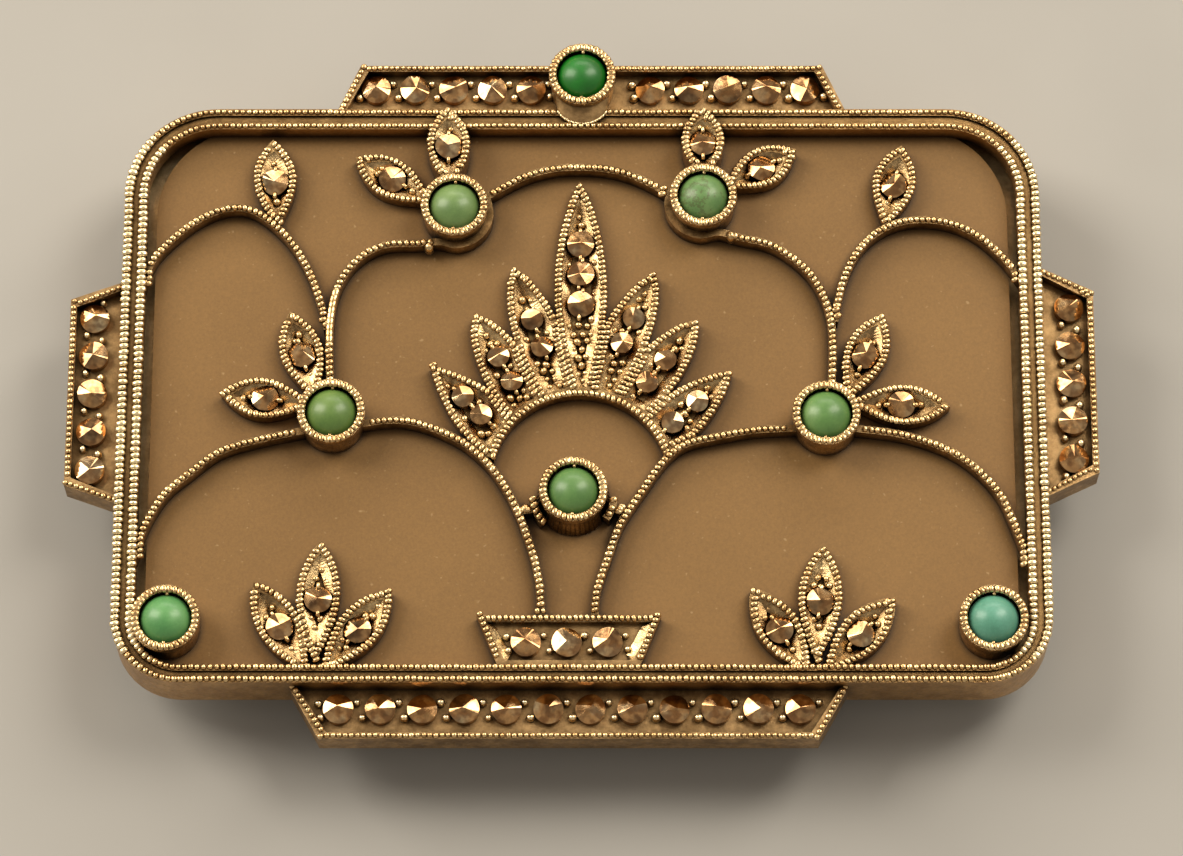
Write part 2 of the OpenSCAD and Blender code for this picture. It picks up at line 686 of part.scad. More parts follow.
// A flat sector about the catch's axis, from and to in degrees from straight down
module catch_sector(from, to, w) {
    reach = 4;
    translate([catch_x, pin_y, pin_z]) rotate([90, 0, 90]) translate([0, 0, -w / 2]) linear_extrude(w)
        polygon(concat([[0, 0]], [for (i = [0:6])
            let (a = from + (to - from) * i / 6) reach * [sin(a), -cos(a)]]));
}

module catch_housing() color(silver) difference() {
    union() {
        along_catch(housing_w, catch_r);
        translate([catch_x - housing_w / 2, pin_y - catch_foot_w / 2, pin_z])
            cube([housing_w, catch_foot_w, z_back - pin_z]);
    }
    along_catch(housing_w + 1, housing_bore_r);
    along_catch(groove_w, groove_r);
    translate([catch_x - housing_w, pin_y - slot_w / 2, -1]) cube([2 * housing_w, slot_w, pin_z + 1]);
    catch_sector(lever_rest - lever_travel - lever_slit_margin, lever_rest + lever_slit_margin,
        lever_w + 0.12);
}

module catch_rotor() color(dark_silver) difference() {
    union() {
        along_catch(groove_w - 2 * rotor_side_gap, groove_r - fit_gap);
        translate([catch_x, pin_y, pin_z]) rotate([lever_rest - 90, 0, 0])
            translate([-lever_w / 2, 0, -lever_t / 2]) cube([lever_w, lever_r, lever_t]);
    }
    along_catch(groove_w + 1, rotor_bore_r);
    translate([catch_x - groove_w, pin_y - slot_w / 2, -1]) cube([2 * groove_w, slot_w, pin_z + 1]);
}

plaque();
frame_band();
back_frame();
top_gallery();
bottom_gallery();
left_gallery();
right_gallery();
top_gallery_stones();
bottom_gallery_stones();
left_gallery_stones();
right_gallery_stones();
top_collet();
upper_left_collet();
upper_right_collet();
mid_left_collet();
mid_right_collet();
centre_collet();
lower_left_collet();
lower_right_collet();
top_cabochon();
upper_left_cabochon();
upper_right_cabochon();
mid_left_cabochon();
mid_right_cabochon();
centre_cabochon();
lower_left_cabochon();
lower_right_cabochon();
centre_arch();
left_shoulder();
right_shoulder();
left_outer_arch();
right_outer_arch();
left_lower_arch();
right_lower_arch();
left_vase_stem();
right_vase_stem();
collet_lugs();
palmette();
palmette_stones();
basket();
basket_stones();
left_spray();
right_spray();
left_spray_stones();
right_spray_stones();
upper_left_leaves();
upper_right_leaves();
mid_left_leaves();
mid_right_leaves();
lone_left_leaf();
lone_right_leaf();
left_leaf_stones();
right_leaf_stones();
back_bar();
pin_hinge();
hinge_rivet();
pin_stem();
catch_housing();
catch_rotor();
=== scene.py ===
"""Visual model of the brooch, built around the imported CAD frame."""
import math
import random

import bpy
from mathutils import Matrix, Vector, noise


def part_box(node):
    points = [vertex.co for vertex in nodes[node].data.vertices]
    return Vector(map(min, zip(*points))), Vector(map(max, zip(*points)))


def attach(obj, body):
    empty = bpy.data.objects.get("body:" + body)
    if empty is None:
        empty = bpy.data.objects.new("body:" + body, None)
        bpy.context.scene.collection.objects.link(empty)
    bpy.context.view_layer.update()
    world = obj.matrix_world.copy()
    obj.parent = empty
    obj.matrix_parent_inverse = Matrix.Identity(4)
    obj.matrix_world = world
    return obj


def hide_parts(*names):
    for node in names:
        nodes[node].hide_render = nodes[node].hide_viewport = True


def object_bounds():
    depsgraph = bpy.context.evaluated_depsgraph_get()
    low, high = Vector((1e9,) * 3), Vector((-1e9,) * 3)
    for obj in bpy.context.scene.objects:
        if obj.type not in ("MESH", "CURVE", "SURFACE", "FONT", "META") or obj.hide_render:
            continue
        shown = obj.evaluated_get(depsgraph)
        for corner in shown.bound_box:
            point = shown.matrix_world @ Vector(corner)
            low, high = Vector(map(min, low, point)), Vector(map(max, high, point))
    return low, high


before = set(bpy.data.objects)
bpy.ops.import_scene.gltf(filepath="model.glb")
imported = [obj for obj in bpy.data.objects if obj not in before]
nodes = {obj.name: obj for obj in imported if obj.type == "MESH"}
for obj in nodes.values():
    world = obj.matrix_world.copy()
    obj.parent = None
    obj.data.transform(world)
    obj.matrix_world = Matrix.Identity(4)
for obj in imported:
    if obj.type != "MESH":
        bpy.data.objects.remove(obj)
cad_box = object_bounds()
MM = 0.001


# ---------- where things are, from the frame ----------

COLLETS = ["top", "upper_left", "upper_right", "mid_left", "mid_right", "centre", "lower_left",
           "lower_right"]
GALLERIES = ["top_gallery", "bottom_gallery", "left_gallery", "right_gallery"]
STEMS = ["centre_arch", "left_shoulder", "right_shoulder", "left_outer_arch", "right_outer_arch",
         "left_lower_arch", "right_lower_arch", "left_vase_stem", "right_vase_stem", "collet_lugs"]
LEAVES = ["upper_left_leaves", "upper_right_leaves", "mid_left_leaves", "mid_right_leaves",
          "lone_left_leaf", "lone_right_leaf", "left_spray", "right_spray"]
LEAF_STONES = ["palmette_stones", "basket_stones", "left_spray_stones", "right_spray_stones",
               "left_leaf_stones", "right_leaf_stones"]
BACK = ["back_frame", "back_bar", "pin_hinge", "hinge_rivet", "catch_housing", "catch_rotor"]


def middle(node):
    """The middle of a node's box, seen from above."""
    low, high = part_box(node)
    return Vector(((low.x + high.x) / 2, (low.y + high.y) / 2))


plaque_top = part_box("plaque")[1].z
rim_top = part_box("frame_band")[1].z
gallery_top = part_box("bottom_gallery")[1].z
tray_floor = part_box("bottom_gallery_stones")[0].z
stem_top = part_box("centre_arch")[1].z
leaf_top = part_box("mid_left_leaves")[1].z
leaf_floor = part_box("left_spray_stones")[0].z
tall_leaf_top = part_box("upper_left_leaves")[1].z
tall_leaf_floor = tall_leaf_top - (leaf_top - leaf_floor)
lip_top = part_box("mid_left_collet")[1].z
lip_r = (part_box("mid_left_collet")[1].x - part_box("mid_left_collet")[0].x) / 2
cabochon_r = (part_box("centre_cabochon")[1].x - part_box("centre_cabochon")[0].x) / 2
collet_at = {name: middle(name + "_collet") for name in COLLETS}


# ---------- measures and shares that the frame doesn't give ----------

UPWARD = 0.95               # a face looks up if its normal's Z is more than this
SAME_LEVEL = 0.02 * MM      # heights closer than this are one level
FAR = 9.0                   # further than anything in the scene, in metres

BEAD_SPACING = 0.72         # the closest that two milgrain beads come, as a share of their pitch
BEAD_RINGS = (62, 30, 0)    # degrees above its base at which a bead's rings of points lie
WEAR_PATCH = 2.5 * MM       # size of the patches where the milgrain is more or less worn
STEEP = 0.75                # an edge runs up and down if its direction's Y is more than this

CUT_PATCH = 1.3 * MM        # size of the patches where the bright-cut slopes are laid back
CUT_STEEPEST = 36           # degrees that most of the bright-cut slopes are tilted
CUT_LAID_BACK = 13          # degrees less in the patches
CUT_STEP = 0.15 * MM        # between the points of a bright-cut edge
HAIR = 0.02 * MM            # overlap or gap too small to see

FACETS = 6                  # sides of a rose-cut stone
STONE_SIDES = 48            # points round a stone's girdle
FLATTEST = 16               # degrees of the flattest facet
GALLERY_STEEPEST = 32       # degrees of the steepest facet that a gallery's stone may have
LEAF_STEEPEST = 34          # and a stone of the palmette, leaves, sprays or basket

GIRDLE_TO_TOP = 0.54        # a cabochon's dome, as a share of its height
DOME_SIDES = 64             # points round a dome
DOME_RINGS = 16             # and rings of them from its top to its girdle
FOOT_SPREAD = 0.22 * MM     # how far the centre collet's foot stands out from its wall
FOOT_HEIGHT = 0.8 * MM      # and how far up from the plaque it begins to
FLUTES = 46                 # ribs round the centre collet
SKIRT = range(-150, -29, 5) # directions, in degrees, from the top collet to its skirt of solder
# Beads of solder: a collet, and the way from its middle to the bead, in millimetres.
SOLDER = [("upper_left", (-1.22, -1.76)), ("upper_right", (1.33, -1.70)),
          ("centre", (-2.25, -0.62)), ("centre", (2.2, -0.66))]


# ---------- outlines of flat faces ----------

def key(point):
    """A corner's place from above, rounded so that the corners of neighbouring faces match."""
    return (round(point.x, 7), round(point.y, 7))


def flat(node, level):
    """Upward polygons of a CAD node at a height, as lists of rounded corner keys."""
    mesh = nodes[node].data
    faces = []
    for polygon in mesh.polygons:
        if polygon.normal.z > UPWARD and abs(polygon.center.z - level) < SAME_LEVEL:
            faces.append([key(mesh.vertices[i].co) for i in polygon.vertices])
    return faces


def outlines(faces):
    """Edges used by one face only, chained into closed loops, with the faces on their left."""
    edges = {}
    for face in faces:
        for a, b in zip(face, face[1:] + face[:1]):
            if a != b:
                edges[(a, b)] = edges.get((a, b), 0) + 1
    follow = {}
    for a, b in edges:
        if (b, a) not in edges:
            follow.setdefault(a, []).append(b)
    loops = []
    while follow:
        start = next(iter(follow))
        loop, here = [start], start
        while here in follow:
            there = follow[here].pop()
            if not follow[here]:
                del follow[here]
            here = there
            if here == start:
                break
            loop.append(here)
        if len(loop) > 2:
            loops.append([Vector((x, y)) for x, y in loop])
    return loops


def walk(loop, pitch):
    """(point, direction) at even steps along a closed loop."""
    lengths = [(b - a).length for a, b in zip(loop, loop[1:] + loop[:1])]
    total = sum(lengths)
    count = max(3, round(total / pitch))
    step = total / count
    places, i, gone = [], 0, 0.0
    for k in range(count):
        target = k * step
        while gone + lengths[i] < target and i < len(loop) - 1:
            gone += lengths[i]
            i += 1
        a, b = loop[i], loop[(i + 1) % len(loop)]
        t = (target - gone) / max(lengths[i], 1e-12)
        places.append((a.lerp(b, t), (b - a).normalized()))
    return places


def left_of(direction):
    """The direction a quarter turn to the left of a flat one."""
    return Vector((-direction.y, direction.x))


def reach(loops, start, direction):
    """Distance from a point to the first crossing of any loop, along a direction."""
    nearest = FAR
    for loop in loops:
        for a, b in zip(loop, loop[1:] + loop[:1]):
            side = b - a
            turn = direction.cross(side)
            if abs(turn) < 1e-12:
                continue
            t = (a - start).cross(side) / turn
            u = (a - start).cross(direction) / turn
            if t > 0.01 * MM and -1e-6 <= u <= 1 + 1e-6:
                nearest = min(nearest, t)
    return nearest


def room(point, loops):
    """Distance from a point to the nearest edge of the faces that the loops bound; 0 outside them."""
    crossings, nearest = 0, FAR
    for loop in loops:
        for a, b in zip(loop, loop[1:] + loop[:1]):
            side = b - a
            if (a.y > point.y) != (b.y > point.y):
                crossings += point.x < a.x + side.x * (point.y - a.y) / side.y
            t = min(1, max(0, (point - a).dot(side) / side.length_squared))
            nearest = min(nearest, (point - a - side * t).length)
    return nearest if crossings % 2 else 0.0


def bead_places(loops, pitch, inset):
    """(point, direction) of each milgrain bead: along every loop, set in from the edge, none too close."""
    kept, grid = [], {}
    for loop in sorted(loops, key=len, reverse=True):
        for point, along in walk(loop, pitch):
            at = point + inset * left_of(along)
            cell = (int(at.x // pitch), int(at.y // pitch))
            near = [p for dx in (-1, 0, 1) for dy in (-1, 0, 1)
                    for p in grid.get((cell[0] + dx, cell[1] + dy), [])]
            if all((p - at).length > BEAD_SPACING * pitch for p in near):
                grid.setdefault(cell, []).append(at)
                kept.append((at, along))
    return kept


def islands(node):
    """Lists of the corner points of each separate solid in a CAD node."""
    mesh = nodes[node].data
    parent = {}

    def root(place):
        """The place that stands for the whole solid that a place belongs to."""
        while parent[place] != place:
            place = parent[place]
        return place

    for polygon in mesh.polygons:
        corners = [key(mesh.vertices[i].co) for i in polygon.vertices]
        for place in corners:
            parent.setdefault(place, place)
        for place in corners[1:]:
            parent[root(place)] = root(corners[0])
    groups = {}
    for v in mesh.vertices:
        place = key(v.co)
        if place in parent:
            groups.setdefault(root(place), []).append(v.co)
    return list(groups.values())


def stones_of(node):
    """(middle, base height, radius, height) of each separate stone in a CAD node."""
    stones = []
    for points in islands(node):
        xs, ys, zs = ([p[i] for p in points] for i in range(3))
        at = Vector(((min(xs) + max(xs)) / 2, (min(ys) + max(ys)) / 2))
        stones.append((at, min(zs), (max(xs) - min(xs)) / 2, max(zs) - min(zs)))
    return sorted(stones, key=lambda s: (round(s[0].x, 5), round(s[0].y, 5)))


# ---------- mesh helpers ----------

class Builder:
    """Collects closed shells and makes one mesh piece of them."""

    def __init__(self):
        self.points = []
        self.faces = []

    def add(self, points, faces):
        """Adds a shell, whose faces count its own points from 0."""
        first = len(self.points)
        self.points.extend(points)
        self.faces.extend([tuple(first + i for i in face) for face in faces])

    def piece(self, name, material, smooth=True, body="root"):
        """Makes the mesh object, which rides on a body and has a material slot."""
        mesh = bpy.data.meshes.new(name)
        mesh.from_pydata([tuple(p) for p in self.points], [], self.faces)
        mesh.polygons.foreach_set("use_smooth", [smooth] * len(mesh.polygons))
        mesh.materials.append(material)
        mesh.update()
        obj = bpy.data.objects.new(name, mesh)
        bpy.context.scene.collection.objects.link(obj)
        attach(obj, body)
        return obj


def squared(value, power):
    """Fills out a sine or cosine, so that a round form turns a little square."""
    return math.copysign(abs(value) ** power, value)


def ring(at, out, z, angles, power=1.0):
    """Points of a flat ellipse, or a squared one; out is its two half-axes as vectors."""
    return [Vector((*(at + out[0] * squared(math.cos(a), power) + out[1] * squared(math.sin(a), power)), z))
            for a in angles]


def bead(at, level, along, length, width, height, sink=0.05 * MM, segments=12, power=0.8):
    """Points and faces of a closed bead: length runs along the edge, width across it. It reaches down
    to sink below its level, and a power below 1 makes it squarer."""
    angles = [2 * math.pi * (k + 0.5) / segments for k in range(segments)]
    points = [Vector((at.x, at.y, level + height))]
    for tilt in BEAD_RINGS:
        out = squared(math.cos(math.radians(tilt)), power)
        up = squared(math.sin(math.radians(tilt)), power)
        axes = (along * length / 2 * out, left_of(along) * width / 2 * out)
        points += ring(at, axes, level + height * up, angles, power)
    points += [Vector((p.x, p.y, level - sink)) for p in points[-segments:]]
    return points, lathe_faces(len(BEAD_RINGS) + 1, segments)


def lathe_faces(rings, segments):
    """Faces of a closed form: a top point, rings below it from the top down, and a flat base."""
    faces = [(0, 1 + k, 1 + (k + 1) % segments) for k in range(segments)]
    for i in range(rings - 1):
        first = 1 + i * segments
        for k in range(segments):
            after = (k + 1) % segments
            faces.append((first + k, first + segments + k, first + segments + after, first + after))
    last = 1 + (rings - 1) * segments
    faces.append(tuple(last + k for k in reversed(range(segments))))
    return faces


# ---------- milgrain ----------
# The widths and tests of beads all take a bead's place and its edge's direction.

def worn_down(at):
    """Slow change of the milgrain's height along an edge: 1 is crisp, lower is worn."""
    return 0.9 + 0.35 * noise.noise(Vector((at.x, at.y, 0)) / WEAR_PATCH)


def rim_width(at, along):
    """The rim's beads are broad down the sides, most on the left, and fine along the top and bottom."""
    fine = 0.25 if at.y > 0 else 0.29
    broad = 0.47 if at.x < 0 else 0.43
    return (fine + (broad - fine) * along.y ** 2) * MM


def stem_width(at, along):
    """A stem's beads are broader where it runs up and down than where it runs across."""
    return (0.28 + 0.12 * abs(along.y)) * MM


def gallery_width(at, along):
    """A gallery's beads are broader on the edges that run up and down."""
    return (0.28 if steep(at, along) else 0.23) * MM


def leaf_width(at, along):
    """A leaf's beads are broader where its edge runs up and down than where it runs across."""
    return (0.31 + 0.1 * abs(along.y)) * MM


def steep(at, along):
    """Whether an edge runs up and down."""
    return abs(along.y) > STEEP


def level_run(at, along):
    """Whether an edge runs across."""
    return not steep(at, along)


def polished(at):
    """Whether a place is on the stretch of stem above the middle left collet that is rubbed smooth."""
    offset = at - collet_at["mid_left"]
    return abs(offset.x - 0.3 * MM) < 0.8 * MM and 3.7 * MM < offset.y < 6.6 * MM


def milgrain(node, levels, wall, pitch, seed, slant, width=None, clear=(), above=-FAR, wear=0.0,
             only=None, silver=None, name="_milgrain"):
    """One piece with the beads along every edge of a node at the given heights.
    Beads are longer and flatter, and run together, where the edge is worn.
    wall is the edge's width and slant the beads' turn in radians; width is a function of the place.
    clear lists the (middle, radius) of circles without beads, and there are none with a Y below above.
    wear is added wear, from 0 to 1; only is a test that each place has to pass."""
    chance = random.Random(seed)
    beads = Builder()
    for level in levels:
        for at, along in bead_places(outlines(flat(node, level)), pitch, wall / 2):
            if at.y < above or any((at - centre).length < radius for centre, radius in clear):
                continue
            if only and not only(at, along):
                continue
            size = 1 + chance.uniform(-0.1, 0.1)
            turn = Matrix.Rotation(slant + chance.uniform(-0.15, 0.15), 2)
            shift = Vector((chance.uniform(-1, 1), chance.uniform(-1, 1))) * 0.014 * MM
            across = width(at, along) if width else wall * 1.08
            crisp = worn_down(at) - wear
            if node == "left_shoulder" and polished(at):
                beads.add(*bead(at, level, along, length=pitch * 2.4, width=wall * 1.1,
                                height=pitch * 0.5, power=0.9))
                continue
            beads.add(*bead(at + shift, level, turn @ along, length=pitch * (1.18 - 0.3 * crisp) * size,
                            width=across * size, height=pitch * 0.5 * crisp, power=0.72))
    return beads.piece(node + name, silver or bead_silver)


# ---------- linings: the sloped, bright-cut insides of leaves and basket ----------

def cut_tilt(at):
    """Degrees that a bright-cut slope is tilted: steep in most places, laid back in patches."""
    patch = 2.5 * noise.noise(Vector((at.x, at.y, 0)) / CUT_PATCH)
    return CUT_STEEPEST - CUT_LAID_BACK * min(1, max(0, patch))


def lining(node, floor, top, stones, ends_only=False):
    """Closed sloped rings inside each hollow of a node, opened out round its stones.
    The slopes meet in a groove where the hollow is narrow; ends_only leaves the long sides upright."""
    widest = 0.42 * MM
    rings = Builder()
    loops = outlines(flat(node, floor))
    for loop in loops:
        places = walk(loop, CUT_STEP)
        count = len(places)
        if count < 8:
            continue
        edge, foot, depth = [], [], []
        for k, (point, along) in enumerate(places):
            inward = left_of((places[(k + 1) % count][0] - places[k - 1][0]).normalized())
            span = reach(loops, point + inward * 0.02 * MM, inward)
            end = point + inward * min(0.49 * span, widest)     # just short of the middle
            for at, base, radius, height in stones:
                hole = radius * 1.04    # a little larger than the stone
                if (end - at).length < hole:
                    end = at + (end - at).normalized() * hole
                    if (point - at).length < hole:
                        end = point + inward * 0.02 * MM
            if ends_only and abs(along.x) > 0.9:
                end = point + inward * 0.02 * MM
            edge.append(point - inward * 0.01 * MM)
            foot.append(end)
            depth.append(math.tan(math.radians(cut_tilt(end))) * (end - point).length)
        points = [Vector((p.x, p.y, top)) for p in edge]
        points += [Vector((p.x, p.y, max(top - d, floor + HAIR))) for p, d in zip(foot, depth)]
        points += [Vector((p.x, p.y, floor - HAIR)) for p in foot + edge]
        faces = []
        for k in range(count):
            after = (k + 1) % count
            for i in range(4):
                first, second = i * count, (i + 1) % 4 * count
                faces.append((first + k, first + after, second + after, second + k))
        rings.add(points, faces)
    return rings


# ---------- stones ----------

def marcasites(node, seed, steepest):
    """Six-sided rose-cut stones in place of a node's plain cones, each turned its own way;
    steepest is the steepest that a facet may be, in degrees."""
    chance = random.Random(seed)
    stones = Builder()
    for at, base, radius, height in stones_of(node):
        turn = chance.uniform(0, 2 * math.pi / FACETS)
        lean = Vector((chance.uniform(-0.12, 0.12), chance.uniform(-0.12, 0.12))) * radius  # of its peak
        lie = Vector((chance.uniform(-0.06, 0.06), chance.uniform(-0.06, 0.06)))    # slope it sits at
        slopes = [math.tan(math.radians(chance.uniform(FLATTEST, steepest))) for side in range(FACETS)]
        facings = [turn + 2 * math.pi * (side + 0.5) / FACETS for side in range(FACETS)]
        ways = [Vector((math.cos(facing), math.sin(facing))) for facing in facings]
        peak = base + height * 0.97
        edge = []
        for k in range(STONE_SIDES):
            angle = turn + 2 * math.pi * k / STONE_SIDES
            out = Vector((math.cos(angle), math.sin(angle))) * radius
            drop = max(slope * (out - lean).dot(way) for slope, way in zip(slopes, ways))
            edge.append(Vector((*(at + out), peak - drop + lie.dot(out - lean))))
        points = [Vector((*(at + lean), peak))] + edge
        points += [Vector((p.x, p.y, base)) for p in edge]
        stones.add(points, lathe_faces(2, STONE_SIDES))
    obj = stones.piece(node + "_faceted", pyrite, smooth=False)
    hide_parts(node)


def grains(node, tray, floor, name, size=0.2 * MM):
    """Bead pairs that hold a row of stones: one each side of every gap, and at both ends of each run."""
    stones = stones_of(node)
    row = (stones[-1][0] - stones[0][0]).normalized()
    across = left_of(row)
    if across.y + across.x < 0:
        across = -across
    pitch = min((b[0] - a[0]).length for a, b in zip(stones, stones[1:]))
    chance = random.Random(len(name))
    stalk = 0.2 * MM
    beads = Builder()
    for i, (at, base, radius, height) in enumerate(stones):
        before = (stones[i - 1][0] - at).length if i else FAR
        after = (stones[i + 1][0] - at).length if i + 1 < len(stones) else FAR
        spots = [at + row * (pitch / 2 - 0.12 * MM) + across * 0.36 * MM,
                 at - row * (pitch / 2 - 0.14 * MM) - across * 0.38 * MM]
        if before > 1.5 * pitch:
            spots.append(at - row * (pitch / 2 - 0.05 * MM) + across * 0.3 * MM)
        if after > 1.5 * pitch:
            spots.append(at + row * (pitch / 2 - 0.02 * MM) - across * 0.3 * MM)
        for spot in spots:
            wide = size * chance.uniform(1.5, 2.1)
            if room(spot, tray) > 0.1 * MM:
                beads.add(*bead(spot, floor + stalk, row, length=wide * 1.1, width=wide,
                                height=wide * 0.5, sink=stalk, power=1))
    beads.piece(name, rubbed_and_highlit_silver)


def claws(stones, loops, beads):
    """Two small cut-down grains on each leaf stone, on the long axis of its leaf."""
    for at, base, radius, height in stones:
        angles = [math.pi * k / 24 for k in range(24)]
        axis = max((Vector((math.cos(a), math.sin(a))) for a in angles),
                   key=lambda d: min(reach(loops, at, d), 3 * MM) + min(reach(loops, at, -d), 3 * MM))
        for way in (axis, -axis):
            if reach(loops, at, way) > radius + 0.12 * MM:
                beads.add(*bead(at + way * (radius + 0.04 * MM), base + 0.34 * MM, way, length=0.34 * MM,
                                width=0.2 * MM, height=0.12 * MM, sink=0.34 * MM, segments=10))


def leaf_grains(stones, loops, floor, beads, seed):
    """Small grains raised from a leaf's floor, wherever there is room between its slopes and stones."""
    chance = random.Random(seed)
    step = 0.4 * MM
    for loop in loops:
        xs, ys = [p.x for p in loop], [p.y for p in loop]
        for row in range(int((max(ys) - min(ys)) / step) + 1):
            for column in range(int((max(xs) - min(xs)) / step) + 1):
                at = Vector((min(xs) + (column + row % 2 / 2) * step, min(ys) + row * step))
                at += Vector((chance.uniform(-1, 1), chance.uniform(-1, 1))) * 0.06 * MM
                size = chance.uniform(0.26, 0.38) * MM
                height = chance.uniform(0.1, 0.24) * MM
                clear = all((at - s[0]).length > s[2] + size * 0.45 for s in stones)
                if clear and room(at, [loop]) > 0.2 * MM:
                    turn = size / MM * 40       # any way round, with no more random draws
                    along = Vector((math.cos(turn), math.sin(turn)))
                    beads.add(*bead(at, floor + height, along, length=size * 1.15, width=size,
                                    height=size * 0.45, sink=height + 0.05 * MM, segments=10, power=1))


def cabochon(name):
    """A smooth dome over an upright girdle, in place of a collet's plain cabochon."""
    low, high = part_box(name + "_cabochon")
    at, radius, height = middle(name + "_cabochon"), (high.x - low.x) / 2, high.z - low.z
    dome = GIRDLE_TO_TOP * height
    ball = (radius ** 2 + dome ** 2) / (2 * dome)
    edge = math.asin(radius / ball)
    angles = [2 * math.pi * k / DOME_SIDES for k in range(DOME_SIDES)]
    points = [Vector((*at, high.z))]
    for i in range(1, DOME_RINGS + 1):
        tilt = edge * i / DOME_RINGS
        out = ball * math.sin(tilt)
        axes = (Vector((out, 0)), Vector((0, out)))
        points += ring(at, axes, high.z - ball + ball * math.cos(tilt), angles)
    points += [Vector((p.x, p.y, low.z)) for p in points[-DOME_SIDES:]]
    stone = Builder()
    stone.add(points, lathe_faces(DOME_RINGS + 1, DOME_SIDES))
    obj = stone.piece(name + "_cabochon_dome", stone_material(name + "_chrysoprase", *GREENS[name]))
    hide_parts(name + "_cabochon")


def flutes():
    """Thin upright ribs round the centre collet, down its wall and out over its foot."""
    ribs = Builder()
    chance = random.Random(7)
    low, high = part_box("centre_collet")
    foot_r = (high.x - low.x) / 2
    wall_r = foot_r - FOOT_SPREAD
    top, bend, bottom = lip_top - 0.35 * MM, plaque_top + FOOT_HEIGHT, plaque_top + 0.04 * MM
    for k in range(FLUTES):
        angle = 2 * math.pi * (k + chance.uniform(-0.25, 0.25)) / FLUTES
        way = Vector((math.cos(angle), math.sin(angle)))
        side = left_of(way) * chance.uniform(0.04, 0.07) * MM
        deep, proud = way * 0.06 * MM, way * chance.uniform(0.03, 0.06) * MM
        points = []
        for out, z in ((wall_r, top), (wall_r, bend), (foot_r, bottom)):
            base = collet_at["centre"] + way * out
            points += [Vector((*p, z)) for p in (base - side - deep, base + proud, base + side - deep)]
        faces = [(0, 1, 2), (8, 7, 6)]
        for i in (0, 3):
            faces += [(i + a, i + 3 + a, i + 3 + b, i + b) for a, b in ((0, 1), (1, 2), (2, 0))]
        ribs.add(points, faces)
    ribs.piece("centre_collet_flutes", collet_silver, smooth=False)


def collet_claws():
    """Two small claws on each collet, over the cabochon's edge at its top and bottom, and the beads of
    solder where stems and lugs join collets."""
    upward = Vector((0, 1))
    beads = Builder()
    for name in COLLETS:
        for side in (-1, 1):
            at = collet_at[name] + Vector((0.04 * side, side)) * (cabochon_r + 0.03 * MM)
            beads.add(*bead(at, lip_top - 0.16 * MM, upward, length=0.26 * MM, width=0.2 * MM,
                            height=0.12 * MM, sink=0.3 * MM))
    for name, way in SOLDER:
        at = collet_at[name] + Vector(way) * MM
        beads.add(*bead(at, stem_top - 0.08 * MM, upward, length=0.5 * MM, width=0.46 * MM,
                        height=0.22 * MM, sink=0.4 * MM, segments=16, power=1))
    beads.piece("collet_claws", bead_silver)


def top_skirt():
    """The dark skirt of solder that runs from the top collet's wall over the rim, where the outer row of
    beads is left out, and the low beads that light its edge."""
    head, foot = collet_at["top"], collet_at["top"] - Vector((0, 0.9 * MM))
    foot_r = 1.38 * MM
    ways = [Vector((math.cos(math.radians(angle)), math.sin(math.radians(angle)))) for angle in SKIRT]
    rows = [(head, lip_r - 0.1 * MM, lip_top - 0.45 * MM), (foot, foot_r, rim_top + 0.03 * MM),
            (foot, foot_r, rim_top - 0.1 * MM), (head, lip_r - 0.3 * MM, rim_top - 0.1 * MM)]
    count = len(ways)
    faces = [tuple(i * count for i in reversed(range(4))), tuple((i + 1) * count - 1 for i in range(4))]
    for i in range(4):
        first, second = i * count, (i + 1) % 4 * count
        faces += [(first + k, second + k, second + k + 1, first + k + 1) for k in range(count - 1)]
    skirt = Builder()
    skirt.add([Vector((*(at + way * radius), z)) for at, radius, z in rows for way in ways], faces)
    skirt.piece("top_collet_solder", tray_silver, smooth=False)
    edge = Builder()
    for way in ways[1:-1:2]:
        edge.add(*bead(foot + way * foot_r, rim_top, left_of(way), length=0.3 * MM, width=0.14 * MM,
                       height=0.09 * MM))
    edge.piece("top_collet_edge", rubbed_and_highlit_silver)


# ---------- materials ----------

OXIDE_AND_SHADE = (0.020, 0.012, 0.006)         # oxide and painted shade, in the metal's corners, and round the marcasites
# dirt and painted shade on the plaque, close by the frame's walls and the stems
PLAQUE_DIRT_AND_SHADE = (0.030, 0.015, 0.005)
PALE_SPECK = (0.36, 0.24, 0.11)


def new_material(name):
    """A node material, its tree and its shader."""
    material = bpy.data.materials.new(name)
    material.use_nodes = True
    tree = material.node_tree
    return material, tree, tree.nodes["Principled BSDF"]


def cloud(tree, scale, detail=4.0, roughness=0.55, stretch=(1, 1, 1)):
    """A noise texture with its scale in features per millimetre."""
    coordinates = tree.nodes.new("ShaderNodeTexCoord")
    mapping = tree.nodes.new("ShaderNodeMapping")
    mapping.inputs["Scale"].default_value = stretch
    texture = tree.nodes.new("ShaderNodeTexNoise")
    texture.inputs["Scale"].default_value = scale / MM
    texture.inputs["Detail"].default_value = detail
    texture.inputs["Roughness"].default_value = roughness
    tree.links.new(coordinates.outputs["Object"], mapping.inputs["Vector"])
    tree.links.new(mapping.outputs["Vector"], texture.inputs["Vector"])
    return texture.outputs["Fac"]


def ramp(tree, value, stops):
    """A colour ramp over (position, colour) stops."""
    node = tree.nodes.new("ShaderNodeValToRGB")
    elements = node.color_ramp.elements
    while len(elements) < len(stops):
        elements.new(0.5)
    for element, (position, colour) in zip(elements, stops):
        element.position = position
        element.color = (*colour, 1)
    tree.links.new(value, node.inputs["Fac"])
    return node.outputs["Color"]


def grey(value):
    """A colour with three equal parts."""
    return (value, value, value)


